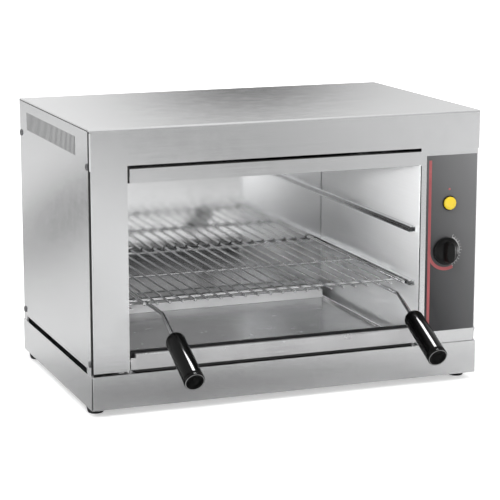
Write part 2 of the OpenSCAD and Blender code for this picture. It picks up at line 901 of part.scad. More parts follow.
// A moulded grip: domed where the rod goes in, a little fuller to its end, with a beaded rim
module grip(x) {
    r = grip_d / 2;
    dome = 8;
    mouth = 2.5;
    body_r = r - 0.3;
    dish = 0.8;
    placed(black_c)
        translate([x, grip_y, grip_z]) rotate([90 + grip_slope, 0, 0]) difference() {
            rotate_extrude() polygon([
                [0, 0], [mouth, 0],
                for (a = [60 : -15 : 15])
                    [mouth + (body_r - mouth - 0.5) * cos(a), dome * (1 - sin(a))],
                [body_r - 0.5, dome], [body_r, grip_l / 2], [body_r, grip_l - 5],
                for (a = [0 : 30 : 90])
                    [r - grip_edge * (1 - cos(a)), grip_l - grip_edge * (1 - sin(a))],
                [r - 3, grip_l], [r - 4, grip_l - dish], [0, grip_l - dish]
            ]);
            translate([0, 0, -1]) cylinder(d = grip_bore, h = rod_in_grip + 1.5);
        }
}

base_pan();
foot(foot_places[0]);  // front_left_foot
foot(foot_places[1]);  // front_right_foot
foot(foot_places[2]);  // back_left_foot
foot(foot_places[3]);  // back_right_foot
foot_screws();
top_cover();
side_panel(false);  // left_side_panel
side_panel(true);  // right_side_panel
back_panel();
post(false, false);  // front_left_post
post(true, false);  // front_right_post
post(false, true);  // back_left_post
post(true, true);  // back_right_post
side_screws();
back_screws();
front_frame();
control_overlay();
red_band();
front_sill();
cavity_floor();
cavity_left_wall();
cavity_right_wall();
cavity_back_wall();
cavity_ceiling();
rail(rail_heights[0], false);  // left_lower_rail
rail(rail_heights[1], false);  // left_upper_rail
rail(rail_heights[0], true);  // right_lower_rail
rail(rail_heights[1], true);  // right_upper_rail
element(tube_centres[0]);  // front_element
element(tube_centres[1]);  // back_element
element_bracket(tube_centres[0]);  // front_element_bracket
element_bracket(tube_centres[1]);  // back_element_bracket
element_bushes();
element_terminals();
timer_body();
timer_nut();
timer_shaft();
timer_knob();
pilot_lamp_body();
pilot_lamp_lens();
terminal_block();
cable_gland();
gland_nut();
crumb_tray();
side_rod(rack_l);  // left_side_rod
side_rod(rack_r);  // right_side_rod
cross_rod(rod_front);  // front_cross_rod
cross_rod(rod_mid);  // middle_cross_rod
cross_rod(rod_back);  // back_cross_rod
rack_wires();
handle_rod(handle_x[0]);  // left_handle_rod
handle_rod(handle_x[1]);  // right_handle_rod
grip(handle_x[0]);  // left_grip
grip(handle_x[1]);  // right_grip
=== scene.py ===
import json
import math

import bpy
import numpy as np
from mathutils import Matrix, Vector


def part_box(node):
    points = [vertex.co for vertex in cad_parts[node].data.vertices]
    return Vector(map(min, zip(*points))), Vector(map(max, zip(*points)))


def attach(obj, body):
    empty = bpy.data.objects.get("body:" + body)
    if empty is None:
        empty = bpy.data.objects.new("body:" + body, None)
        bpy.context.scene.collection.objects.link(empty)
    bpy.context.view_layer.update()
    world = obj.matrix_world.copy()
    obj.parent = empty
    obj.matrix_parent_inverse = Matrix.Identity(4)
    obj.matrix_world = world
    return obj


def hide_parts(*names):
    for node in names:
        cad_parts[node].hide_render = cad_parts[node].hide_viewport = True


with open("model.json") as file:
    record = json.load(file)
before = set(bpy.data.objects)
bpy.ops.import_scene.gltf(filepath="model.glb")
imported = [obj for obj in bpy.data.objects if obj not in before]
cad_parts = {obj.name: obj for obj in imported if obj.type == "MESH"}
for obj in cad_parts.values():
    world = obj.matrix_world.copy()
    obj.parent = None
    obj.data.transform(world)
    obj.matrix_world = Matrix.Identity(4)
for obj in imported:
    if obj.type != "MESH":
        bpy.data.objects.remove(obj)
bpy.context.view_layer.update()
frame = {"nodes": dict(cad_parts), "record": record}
nodes = frame["nodes"]
mm = 0.001

# place of the machine's front face on Y, in metres; every depth below is measured from it
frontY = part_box("top_cover")[0][1]
outwards = (0, -1, 0)  # out of the front face
sidewaysFrom = 0.7  # a face looks sideways where its normal's X is past this, either way
# the Mix node's sockets by number: first value, second value, result
floatMix, vectorMix, colourMix = (2, 3, 0), (4, 5, 1), (6, 7, 2)


# Millimetres across, behind the front face and above the bench, to a point in metres.
def inFrame(x, y, z):
    return np.array([x * mm, y * mm + frontY, z * mm])


# Middle of a CAD node's box.
def boxMiddle(node):
    return np.array(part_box(node), float).mean(0)


# One mesh object at the origin, from an array of points and lists of corner numbers.
def newPiece(name, points, faces, body, material, smooth=True):
    mesh = bpy.data.meshes.new(name)
    mesh.from_pydata(np.asarray(points, float).reshape(-1, 3).tolist(), [], faces)
    mesh.validate()
    mesh.polygons.foreach_set("use_smooth", [smooth] * len(mesh.polygons))
    mesh.materials.append(material)
    piece = bpy.data.objects.new(name, mesh)
    bpy.context.scene.collection.objects.link(piece)
    if body is None:
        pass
    else:
        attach(piece, body)
    return piece


# Quads between row r, r+1 and column c, c+1 of a grid; wrap joins the last column to the first.
def gridFaces(rows, columns, wrap=True):
    r, c = np.meshgrid(np.arange(rows - 1), np.arange(columns - (0 if wrap else 1)), indexing="ij")
    n = (c + 1) % columns
    quads = np.stack([r * columns + c, r * columns + n, (r + 1) * columns + n, (r + 1) * columns + c], -1)
    return quads.reshape(-1, 4).tolist()


# The same with one face over the first ring and one over the last.
def tubeFaces(rows, columns):
    first, last = range(columns), range((rows - 1) * columns, rows * columns)
    return gridFaces(rows, columns) + [list(first)[::-1], list(last)]


# Unit vectors u and v square to axis, so that u x v = axis, and the axis as a unit vector.
def frameOn(axis):
    axis = np.asarray(axis, float) / np.linalg.norm(axis)
    side = np.array([1.0, 0, 0]) if abs(axis[0]) < 0.9 else np.array([0, 1.0, 0])
    u = side - axis * side.dot(axis)
    u /= np.linalg.norm(u)
    return u, np.cross(axis, u), axis


# Turned surface: for a profile of (radius r, height h), the point at angle t is origin + h*axis +
# r*(cos t * u + sin t * v). Both ends are closed by one face.
def turned(profile, origin, axis, sides=64):
    u, v, w = frameOn(axis)
    profile = np.asarray(profile, float)
    t = np.linspace(0, 2 * np.pi, sides, endpoint=False)
    ring = np.cos(t)[:, None] * u + np.sin(t)[:, None] * v
    points = np.asarray(origin) + profile[:, 1, None, None] * w + profile[:, 0, None, None] * ring
    return points.reshape(-1, 3), tubeFaces(len(profile), sides)


# Several (points, faces) put into one, with the corner numbers moved on.
def joined(parts):
    points, faces, start = [], [], 0
    for p, f in parts:
        points.append(p)
        faces += [[i + start for i in face] for face in f]
        start += len(p)
    return np.concatenate(points), faces


# Flat plate: the outline (a, b) lies at origin + a*across + b*up, and its thickness goes along
# across x up.
def slab(outline, origin, across, up, thick):
    across, up = np.asarray(across, float), np.asarray(up, float)
    back = np.asarray(origin) + outline[:, :1] * across + outline[:, 1:] * up
    points = np.concatenate([back, back + thick * np.cross(across, up)])
    return points, tubeFaces(2, len(outline))


# Straight path: the point at t, which goes from 0 to 1 in even steps, is start + t * (end - start).
def straight(start, end, steps):
    start, end = np.asarray(start, float), np.asarray(end, float)
    return start + np.linspace(0, 1, steps + 1)[:, None] * (end - start)


# A strip with rounded edges laid along a path on a flat face: with T the path's direction, N the
# face's normal and S = N x T, the point at angle t of a ring is path + wide/2 * c * S
# + high * (1 + s)/2 * N, where c and s are the cosine and sine of t raised to the power, with their
# signs kept.
def strip(path, normal, wide, high, columns=12, power=0.4):
    path, normal = np.asarray(path, float), np.asarray(normal, float)
    along = np.gradient(path, axis=0)
    along /= np.linalg.norm(along, axis=1)[:, None]
    side = np.cross(normal, along)
    t = np.linspace(0, 2 * np.pi, columns, endpoint=False) + np.pi / columns
    c, s = (np.sign(f) * np.abs(f) ** power for f in (np.cos(t), np.sin(t)))
    points = (path[:, None] + wide / 2 * c[None, :, None] * side[:, None]
              + high * (1 + s[None, :, None]) / 2 * normal)
    return points.reshape(-1, 3), tubeFaces(len(path), columns)


# A new node, with its settings by attribute and its values by input.
def addNode(tree, kind, values=None, **settings):
    node = tree.nodes.new(kind)
    for key, value in settings.items():
        setattr(node, key, value)
    for key, value in (values or {}).items():
        node.inputs[key].default_value = value
    return node


# A new shader group with named inputs and outputs, and its two end nodes.
def newGroup(name, inputs, outputs):
    group = bpy.data.node_groups.new(name, "ShaderNodeTree")
    for label, kind, value in inputs:
        socket = group.interface.new_socket(label, in_out="INPUT", socket_type=kind)
        socket.default_value = value
    for label, kind in outputs:
        group.interface.new_socket(label, in_out="OUTPUT", socket_type=kind)
    return group, group.nodes.new("NodeGroupInput"), group.nodes.new("NodeGroupOutput")


# A group placed in a tree with its own values.
def placeGroup(tree, group, values=None):
    return addNode(tree, "ShaderNodeGroup", values, node_tree=group)


# One step of arithmetic on two values; each is a number or a socket.
def combined(tree, operation, a, b=0):
    node = addNode(tree, "ShaderNodeMath", operation=operation)
    for index, value in ((0, a), (1, b)):
        if isinstance(value, (int, float)):
            node.inputs[index].default_value = value
        else:
            tree.links.new(value, node.inputs[index])
    return node.outputs[0]


# The three values of a vector, by axis.
def split(tree, vector):
    node = addNode(tree, "ShaderNodeSeparateXYZ")
    tree.links.new(vector, node.inputs[0])
    return node.outputs


# 1 on faces that look sideways, to the left or the right, and 0 on the others.
def looksSideways(tree, normal):
    slant = combined(tree, "ABSOLUTE", split(tree, normal)["X"])
    return combined(tree, "GREATER_THAN", slant, sidewaysFrom)


# Streaks of a brushed sheet: noise drawn out along X, or along Y on faces that look sideways.
# Lines is the streak value about 0.5, and Height the same for bumps.
def makeBrushLines():
    group, given, out = newGroup(
        "brushLines",
        [("Across", "NodeSocketFloat", 1400.0), ("Along", "NodeSocketFloat", 9.0)],
        [("Lines", "NodeSocketFloat"), ("Height", "NodeSocketFloat")],
    )
    link = group.links.new
    place = addNode(group, "ShaderNodeTexCoord")
    axes = split(group, place.outputs["Object"])
    chosen = addNode(group, "ShaderNodeMix", data_type="VECTOR")
    link(looksSideways(group, place.outputs["Normal"]), chosen.inputs["Factor"])
    for grain, socket in zip("XY", vectorMix):
        drawnOut = addNode(group, "ShaderNodeCombineXYZ")
        for index, axis in enumerate("XYZ"):
            factor = given.outputs["Along" if axis == grain else "Across"]
            link(combined(group, "MULTIPLY", axes[axis], factor), drawnOut.inputs[index])
        link(drawnOut.outputs[0], chosen.inputs[socket])
    noise = addNode(group, "ShaderNodeTexNoise", {"Scale": 1.0, "Detail": 3.0, "Roughness": 0.6})
    link(chosen.outputs[vectorMix[2]], noise.inputs["Vector"])
    link(noise.outputs["Fac"], out.inputs["Lines"])
    link(noise.outputs["Fac"], out.inputs["Height"])
    return group


# A soft patch: with u and v the place measured from Centre along two axes and divided by their
# widths, the mask is Strength * exp(-(u*u + v*v) / 2).
def makeSoftPatch():
    group, given, out = newGroup(
        "softPatch",
        [("Centre", "NodeSocketVector", (0, 0, 0)), ("Axis U", "NodeSocketVector", (1, 0, 0)),
         ("Axis V", "NodeSocketVector", (0, 1, 0)), ("Strength", "NodeSocketFloat", 1.0)],
        [("Mask", "NodeSocketFloat")],
    )
    link = group.links.new
    place = addNode(group, "ShaderNodeTexCoord")
    offset = addNode(group, "ShaderNodeVectorMath", operation="SUBTRACT")
    link(place.outputs["Object"], offset.inputs[0])
    link(given.outputs["Centre"], offset.inputs[1])
    squares = []
    for label in ("Axis U", "Axis V"):
        along = addNode(group, "ShaderNodeVectorMath", operation="DOT_PRODUCT")
        link(offset.outputs[0], along.inputs[0])
        link(given.outputs[label], along.inputs[1])
        squares.append(combined(group, "MULTIPLY", along.outputs["Value"], along.outputs["Value"]))
    halved = combined(group, "MULTIPLY", combined(group, "ADD", *squares), -0.5)
    bell = combined(group, "EXPONENT", halved)
    link(combined(group, "MULTIPLY", bell, given.outputs["Strength"]), out.inputs["Mask"])
    return group


# Slow stains and fine specks: two noises of different size, each stretched to run from 0 to 1.
def makeClouds():
    group, given, out = newGroup(
        "clouds",
        [("Size", "NodeSocketFloat", 9.0), ("Fine", "NodeSocketFloat", 70.0)],
        [("Patches", "NodeSocketFloat"), ("Specks", "NodeSocketFloat")],
    )
    link = group.links.new
    place = addNode(group, "ShaderNodeTexCoord")
    slow = addNode(group, "ShaderNodeTexNoise", {"Detail": 2.0, "Roughness": 0.5})
    fine = addNode(group, "ShaderNodeTexNoise", {"Detail": 5.0, "Roughness": 0.65})
    link(place.outputs["Object"], slow.inputs["Vector"])
    link(place.outputs["Object"], fine.inputs["Vector"])
    link(given.outputs["Size"], slow.inputs["Scale"])
    link(given.outputs["Fine"], fine.inputs["Scale"])
    patches = addNode(group, "ShaderNodeMapRange", {"From Min": 0.32, "From Max": 0.68})
    specks = addNode(group, "ShaderNodeMapRange", {"From Min": 0.42, "From Max": 0.7})
    link(slow.outputs["Fac"], patches.inputs["Value"])
    link(fine.outputs["Fac"], specks.inputs["Value"])
    link(patches.outputs[0], out.inputs["Patches"])
    link(specks.outputs[0], out.inputs["Specks"])
    return group


# Rubbed edges: where a normal rounded over Reach differs from the true one, broken by a noise.
def makeEdgeRub():
    group, given, out = newGroup(
        "edgeRub", [("Reach", "NodeSocketFloat", 0.8 * mm)], [("Edge", "NodeSocketFloat")]
    )
    link = group.links.new
    rounded = addNode(group, "ShaderNodeBevel", samples=4)
    link(given.outputs["Reach"], rounded.inputs["Radius"])
    flat = addNode(group, "ShaderNodeNewGeometry")
    dot = addNode(group, "ShaderNodeVectorMath", operation="DOT_PRODUCT")
    link(rounded.outputs[0], dot.inputs[0])
    link(flat.outputs["Normal"], dot.inputs[1])
    turn = addNode(group, "ShaderNodeMapRange", {"From Min": 0.99, "From Max": 0.8})
    link(dot.outputs["Value"], turn.inputs["Value"])
    place = addNode(group, "ShaderNodeTexCoord")
    chips = addNode(group, "ShaderNodeTexNoise", {"Scale": 300.0, "Detail": 3.0})
    link(place.outputs["Object"], chips.inputs["Vector"])
    broken = addNode(group, "ShaderNodeMapRange", {"From Min": 0.35, "From Max": 0.6, "To Min": 0.45})
    link(chips.outputs["Fac"], broken.inputs["Value"])
    link(combined(group, "MULTIPLY", turn.outputs[0], broken.outputs[0]), out.inputs["Edge"])
    return group


brushLines = makeBrushLines()
clouds = makeClouds()
edgeRub = makeEdgeRub()
softPatch = makeSoftPatch()
print("shader groups made")


# A new material, its node tree, and its shader with the values that are the same all over.
def startMaterial(name, constants):
    material = bpy.data.materials.new(name)
    material.use_nodes = True
    tree = material.node_tree
    shader = tree.nodes["Principled BSDF"]
    for key, value in constants.items():
        shader.inputs[key].default_value = value
    return material, tree, shader


# Colour mixed from first to second by the factor socket; each colour is a tuple or a socket.
def blendColour(tree, factor, first, second):
    node = addNode(tree, "ShaderNodeMix", data_type="RGBA")
    tree.links.new(factor, node.inputs["Factor"])
    for index, colour in zip(colourMix, (first, second)):
        if isinstance(colour, tuple):
            node.inputs[index].default_value = (*colour, 1)
        else:
            tree.links.new(colour, node.inputs[index])
    return node.outputs[colourMix[2]]


# A 0 to 1 value brought to the range from low to high.
def spread(tree, socket, low, high):
    node = addNode(tree, "ShaderNodeMapRange", {"To Min": low, "To Max": high})
    tree.links.new(socket, node.inputs["Value"])
    return node.outputs[0]


# Bumps of a height socket, in the shader's normal.
def addBump(tree, shader, height, strength):
    bump = addNode(tree, "ShaderNodeBump", {"Strength": strength, "Distance": 0.2 * mm})
    tree.links.new(height, bump.inputs["Height"])
    tree.links.new(bump.outputs[0], shader.inputs["Normal"])


# Direction across the grain, in which a brushed sheet draws its highlights out: the normal crossed
# with X, or with Y on faces that look sideways.
def acrossGrain(tree):
    link = tree.links.new
    place = addNode(tree, "ShaderNodeTexCoord")
    grain = addNode(tree, "ShaderNodeMix", dict(zip(vectorMix, ((1, 0, 0), (0, 1, 0)))), data_type="VECTOR")
    link(looksSideways(tree, place.outputs["Normal"]), grain.inputs["Factor"])
    across = addNode(tree, "ShaderNodeVectorMath", operation="CROSS_PRODUCT")
    link(place.outputs["Normal"], across.inputs[0])
    link(grain.outputs[vectorMix[2]], across.inputs[1])
    return across.outputs[0]


# Stainless sheet: brushed streaks in colour, roughness and bump, wiped patches, bright edges.
def sheetSteel(name, look):
    constants = {"Metallic": look.get("metallic", 1.0), "Anisotropic": look.get("anisotropic", 0.0)}
    material, tree, shader = startMaterial(name, constants)
    link = tree.links.new
    lines = placeGroup(tree, brushLines, {"Across": look["across"], "Along": look["along"]})
    stains = placeGroup(tree, clouds, {"Size": look["patchSize"]})
    edges = placeGroup(tree, edgeRub)
    tone = spread(tree, lines.outputs["Lines"], -look["lineTone"], look["lineTone"])
    tone = combined(tree, "ADD", tone, spread(tree, stains.outputs["Patches"], -look["patchTone"], 0))
    tone = combined(tree, "ADD", tone, 0.5)  # halfway between dark and light where neither adds
    steel = blendColour(tree, tone, look["dark"], look["light"])
    rubbed = combined(tree, "MULTIPLY", edges.outputs["Edge"], look.get("wear", 0.5))
    steel = blendColour(tree, rubbed, steel, look["edge"])
    link(steel, shader.inputs["Base Color"])
    rough = spread(tree, lines.outputs["Lines"], look["rough"] - look["roughLines"],
                   look["rough"] + look["roughLines"])
    rough = combined(tree, "ADD", rough, spread(tree, stains.outputs["Specks"], 0, look["roughSpecks"]))
    link(rough, shader.inputs["Roughness"])
    addBump(tree, shader, lines.outputs["Height"], look["bump"])
    if "anisotropic" in look:
        link(acrossGrain(tree), shader.inputs["Tangent"])
    return material


# Moulded plastic, rubber or ceramic: fine pebbled bump, mottled roughness, paler worn edges. With a
# shade span, the colour turns to the painted shade colour as Z + shadeSlant * X falls from the span's second
# value to its first.
def moulded(name, look):
    constants = {"Metallic": 0.0, "IOR": look.get("ior", 1.5), "Coat Weight": look.get("coat", 0.0),
                 "Coat Roughness": look.get("coatRough", 0.05)}
    material, tree, shader = startMaterial(name, constants)
    link = tree.links.new
    stains = placeGroup(tree, clouds, {"Size": look.get("patchSize", 30.0), "Fine": look["grain"]})
    edges = placeGroup(tree, edgeRub, {"Reach": 0.6 * mm})
    colour = blendColour(tree, stains.outputs["Patches"], look["dark"], look["light"])
    rubbed = combined(tree, "MULTIPLY", edges.outputs["Edge"], look.get("wear", 0.3))
    colour = blendColour(tree, rubbed, colour, look["edge"])
    # painted shade: darker towards the bottom and the left
    if "shadeSpan" in look:
        place = addNode(tree, "ShaderNodeTexCoord")
        axes = split(tree, place.outputs["Object"])
        slanted = combined(tree, "ADD", axes["Z"], combined(tree, "MULTIPLY", axes["X"], look["shadeSlant"]))
        down = addNode(tree, "ShaderNodeMapRange", {
            "From Min": look["shadeSpan"][0], "From Max": look["shadeSpan"][1], "To Min": 1.0, "To Max": 0.0})
        link(slanted, down.inputs["Value"])
        colour = blendColour(tree, down.outputs[0], colour, look["shadeColour"])
    link(colour, shader.inputs["Base Color"])
    link(spread(tree, stains.outputs["Specks"], look["rough"], look["rough"] + look["roughSpecks"]),
         shader.inputs["Roughness"])
    addBump(tree, shader, stains.outputs["Specks"], look["bump"])
    return material


outerSheet = {"dark": (0.60, 0.605, 0.612), "light": (0.74, 0.742, 0.745), "edge": (0.86, 0.86, 0.86),
              "across": 1500.0, "along": 12.0, "lineTone": 0.30, "patchSize": 7.0, "patchTone": 0.12,
              "rough": 0.17, "roughLines": 0.04, "roughSpecks": 0.03, "bump": 0.10, "anisotropic": 0.6}
cavitySheet = {"dark": (0.56, 0.565, 0.57), "light": (0.74, 0.742, 0.745), "edge": (0.9, 0.9, 0.9),
               "across": 1200.0, "along": 10.0, "lineTone": 0.2, "patchSize": 10.0, "patchTone": 0.15,
               "rough": 0.07, "roughLines": 0.02, "roughSpecks": 0.05, "bump": 0.03, "anisotropic": 0.4}
wallSheet = {"dark": (0.66, 0.665, 0.67), "light": (0.84, 0.842, 0.845), "edge": (0.9, 0.9, 0.9),
             "across": 1200.0, "along": 10.0, "lineTone": 0.2, "patchSize": 10.0, "patchTone": 0.15,
             "rough": 0.34, "roughLines": 0.03, "roughSpecks": 0.05, "bump": 0.03, "metallic": 0.6}
traySheet = {"dark": (0.40, 0.40, 0.405), "light": (0.66, 0.66, 0.665), "edge": (0.85, 0.85, 0.85),
             "across": 900.0, "along": 14.0, "lineTone": 0.25, "patchSize": 16.0, "patchTone": 0.35,
             "rough": 0.20, "roughLines": 0.03, "roughSpecks": 0.08, "bump": 0.04, "anisotropic": 0.4,
             "metallic": 0.75}
# painted shade: near-black steel for the sill web, so that it reads as the shadow gap over the tray's lip
sillShadeSheet = {"dark": (0.02, 0.02, 0.021), "light": (0.06, 0.06, 0.062), "edge": (0.12, 0.12, 0.12),
             "across": 1200.0, "along": 10.0, "lineTone": 0.2, "patchSize": 10.0, "patchTone": 0.1,
             "rough": 0.4, "roughLines": 0.05, "roughSpecks": 0.05, "bump": 0.05}
rodPlating = {"dark": (0.64, 0.645, 0.65), "light": (0.90, 0.90, 0.905), "edge": (0.85, 0.85, 0.85),
              "across": 900.0, "along": 900.0, "lineTone": 0.15, "patchSize": 25.0, "patchTone": 0.2,
              "rough": 0.10, "roughLines": 0.03, "roughSpecks": 0.08, "bump": 0.05}
screwSteel = {"dark": (0.10, 0.10, 0.105), "light": (0.30, 0.30, 0.305), "edge": (0.5, 0.5, 0.5),
              "across": 2500.0, "along": 2500.0, "lineTone": 0.2, "patchSize": 200.0, "patchTone": 0.2,
              "rough": 0.3, "roughLines": 0.06, "roughSpecks": 0.1, "bump": 0.1}
tubeSheath = {"dark": (0.10, 0.095, 0.09), "light": (0.26, 0.25, 0.24), "edge": (0.35, 0.34, 0.33),
              "across": 700.0, "along": 40.0, "lineTone": 0.3, "patchSize": 35.0, "patchTone": 0.4,
              "rough": 0.42, "roughLines": 0.06, "roughSpecks": 0.12, "bump": 0.1}
finishes = {
    "brushed_sheet": sheetSteel("brushedSteel", outerSheet),
    "bright_sheet": sheetSteel("cavitySteel", cavitySheet),
    "tray_sheet": sheetSteel("traySteel", traySheet),
    # the dark_sheet slot takes the sill's painted shade
    "dark_sheet": sheetSteel("sillPaintedShade", sillShadeSheet),
    "plated_wire": sheetSteel("chromedRod", rodPlating),
    "fasteners": sheetSteel("screwSteel", screwSteel),
    "element_sheath": sheetSteel("tubeSheath", tubeSheath),
    "black_plastic": moulded("knobPlastic", {
        "dark": (0.002, 0.002, 0.002), "light": (0.005, 0.005, 0.005), "edge": (0.05, 0.05, 0.05),
        "grain": 900.0, "rough": 0.28, "roughSpecks": 0.10, "bump": 0.06, "ior": 1.3}),
    "grip_plastic": moulded("gripPlastic", {
        "dark": (0.001, 0.001, 0.001), "light": (0.002, 0.002, 0.002), "edge": (0.30, 0.30, 0.30),
        "grain": 160.0, "rough": 0.05, "roughSpecks": 0.03, "bump": 0.01, "ior": 1.2, "wear": 0.35}),
    # painted shade: the overlay darkens towards its bottom and left
    "overlay": moulded("overlayFilm", {
        "dark": (0.17, 0.171, 0.174), "light": (0.19, 0.191, 0.194), "edge": (0.3, 0.3, 0.3),
        "shadeColour": (0.022, 0.022, 0.024), "shadeSpan": (0.60, 0.90), "shadeSlant": 3.0,
        "grain": 1600.0, "rough": 0.42, "roughSpecks": 0.08, "bump": 0.08, "patchSize": 12.0}),
    "red_print": moulded("redPrint", {
        "dark": (0.33, 0.07, 0.075), "light": (0.39, 0.09, 0.095), "edge": (0.55, 0.2, 0.2),
        "grain": 1600.0, "rough": 0.4, "roughSpecks": 0.08, "bump": 0.05}),
    "amber_lens": moulded("amberLens", {
        "dark": (0.84, 0.60, 0.02), "light": (0.92, 0.70, 0.04), "edge": (0.95, 0.85, 0.35),
        "grain": 500.0, "rough": 0.12, "roughSpecks": 0.05, "bump": 0.03, "coat": 0.4}),
    "rubber": moulded("footRubber", {
        "dark": (0.008, 0.008, 0.008), "light": (0.02, 0.02, 0.02), "edge": (0.05, 0.05, 0.05),
        "grain": 700.0, "rough": 0.6, "roughSpecks": 0.2, "bump": 0.25}),
    "ceramic": moulded("ceramicBody", {
        "dark": (0.62, 0.59, 0.52), "light": (0.74, 0.72, 0.65), "edge": (0.85, 0.83, 0.78),
        "grain": 500.0, "rough": 0.35, "roughSpecks": 0.2, "bump": 0.12}),
}
whitePrint = moulded("whitePrint", {
    "dark": (0.42, 0.42, 0.42), "light": (0.5, 0.5, 0.5), "edge": (0.6, 0.6, 0.6),
    "grain": 1600.0, "rough": 0.45, "roughSpecks": 0.1, "bump": 0.05})
wallSteel = sheetSteel("wallSteel", wallSheet)
print("finishes made for", len(finishes), "slots")

# the record's slot of every CAD node tells its finish; the cavity's side walls are duller than its back
slotOf = {part["node"]: part["material_slot"] for part in frame["record"]["subparts"]}
dullNodes = ("cavity_left_wall", "cavity_right_wall")
for nodeName, node in nodes.items():
    for place in node.material_slots:
        place.material = wallSteel if nodeName in dullNodes else finishes[slotOf[nodeName]]
print("CAD nodes given their finishes:", len(nodes))

# grips: (radius, height) of the groove is measured from the outer radius and the barrel's end, of the
# dish from the outer radius and the grip's end, and of the boss from the axis and the grip's end
gripLook = {"radius": 11.0, "inset": 0.45, "swell": 0.25, "rim": 1.2, "length": 73.0, "mouth": 2.6,
            "lip": 0.3, "dome": 9.0, "slope": 25.5, "start": (-48.027, 93.788), "sides": 96,
            "headRings": 14, "barrelRings": 16, "beadRings": 10,
            "groove": ((-0.45, 0.15), (-0.5, 0.35), (-0.45, 0.55)), "grooveLong": 0.6, "beadFrom": -0.9,
            "dish": ((-1.9, -0.1), (-2.3, -0.84), (-3.0, -1.4)),
            "boss": ((2.2, -1.4), (1.8, -0.9), (0.4, -0.8))}


# Radius and height along a grip: a quarter-ellipse dome from the rod, a barrel that swells by a
# cosine of the way along it, a groove, a beaded rim that is part of a circle, and a dished end.
def gripProfile(look):
    r, rim, long, dome, mouth = (look[key] for key in ("radius", "rim", "length", "dome", "mouth"))
    barrelRadius = r - look["inset"]
    barrelEnd = long - 2 * rim - look["grooveLong"]
    a = np.linspace(0, np.pi / 2, look["headRings"])
    head = np.stack([mouth + (barrelRadius - mouth) * np.sin(a), dome * (1 - np.cos(a))], 1)
    t = np.linspace(0.04, 1, look["barrelRings"])  # from a little past the head's last ring
    swell = look["swell"] * (1 - np.cos(t * np.pi)) / 2
    barrel = np.stack([barrelRadius + swell, dome + (barrelEnd - dome) * t], 1)
    groove = np.array(look["groove"]) + (r, barrelEnd)
    b = np.linspace(look["beadFrom"], np.pi / 2, look["beadRings"])
    bead = np.stack([r - rim + rim * np.cos(b), long - rim + rim * np.sin(b)], 1)
    dish = np.array(look["dish"]) + (r, long)
    boss = np.array(look["boss"]) + (0, long)
    return np.concatenate([[[mouth - look["lip"], look["lip"]]], head, barrel, groove, bead, dish, boss])


# a grey ring on the beaded end of each grip, a painted highlight along its rim: end + radius * (cos a *
# across + sin a * upwards)
rimHighlightLook = {"radius": 9.85, "wide": 0.9, "high": 0.06, "steps": 64}
gripRimHighlight = moulded("gripRimHighlight", {
    "dark": (0.10, 0.10, 0.10), "light": (0.22, 0.22, 0.22), "edge": (0.4, 0.4, 0.4),
    "grain": 120.0, "rough": 0.25, "roughSpecks": 0.1, "bump": 0.02})
slope = math.radians(gripLook["slope"])
gripAxis = np.array([0, -math.cos(slope), -math.sin(slope)])
across = np.array([1.0, 0, 0])
upwards = np.cross(gripAxis, across)
a = np.linspace(0, 2 * np.pi, rimHighlightLook["steps"] + 1)[:, None]
gripPieces, rimHighlights = [], []
for side in ("left", "right"):
    origin = inFrame(boxMiddle(side + "_grip")[0] / mm, *gripLook["start"])
    points, faces = turned(gripProfile(gripLook) * mm, origin, gripAxis, gripLook["sides"])
    grip = newPiece(side + "Grip", points, faces, "rack", finishes["grip_plastic"])
    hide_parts(side + "_grip")
    grip.visible_glossy = side == "right"  # the left one would blot the pillar beside it
    gripPieces.append(grip)
    end = origin + gripAxis * gripLook["length"] * mm
    path = end + rimHighlightLook["radius"] * mm * (np.cos(a) * across + np.sin(a) * upwards)
    rimHighlights.append(strip(path, gripAxis, rimHighlightLook["wide"] * mm, rimHighlightLook["high"] * mm))
points, faces = joined(rimHighlights)
newPiece("gripRimHighlights", points, faces, "rack", gripRimHighlight)
print("grips made")

wireLook = {"count": 20, "radius": 1.25}
weldLook = {"long": 2.4, "wide": 1.7, "high": 0.55, "sunk": 0.15, "from": 0.25, "sides": 10, "rows": 4}


# Half of a flattened ball: centre + (wide cos t sin p, long sin t sin p, high cos p), with p from a
# little over 0 to 90 degrees, so that a small flat face closes the top.
def weldBead(centre, look):
    p = np.linspace(look["from"], np.pi / 2, look["rows"])[:, None]
    t = np.linspace(0, 2 * np.pi, look["sides"], endpoint=False)[None, :]
    points = np.stack([look["wide"] * np.cos(t) * np.sin(p), look["long"] * np.sin(t) * np.sin(p),
                       look["high"] * np.cos(p) + 0 * t], -1).reshape(-1, 3)[::-1]
    return points * mm + centre, tubeFaces(look["rows"], look["sides"])


wireLow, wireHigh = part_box("rack_wires")
wireRadius = wireLook["radius"] * mm
wireXs = np.linspace(wireLow[0] + wireRadius, wireHigh[0] - wireRadius, wireLook["count"])
beads = []
for rodName in ("front_cross_rod", "middle_cross_rod", "back_cross_rod"):
    rodY, rodTop = boxMiddle(rodName)[1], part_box(rodName)[1][2]
    beads += [weldBead(np.array([x, rodY, rodTop - weldLook["sunk"] * mm]), weldLook) for x in wireXs]
points, faces = joined(beads)
newPiece("rackWelds", points, faces, "rack", finishes["plated_wire"])
print("rack welds made:", len(beads))

dialLook = {"centre": (184.0, 150.0), "tickIn": 17.6, "tickOut": 19.4, "tickWide": 0.5, "long": 0.8,
            "longEach": 3, "from": 62.0, "to": -62.0, "steps": 12, "thick": 0.06, "arcRadius": 16.9,
            "arcWide": 1.1, "arcSteps": 48}
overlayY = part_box("control_overlay")[0][1]


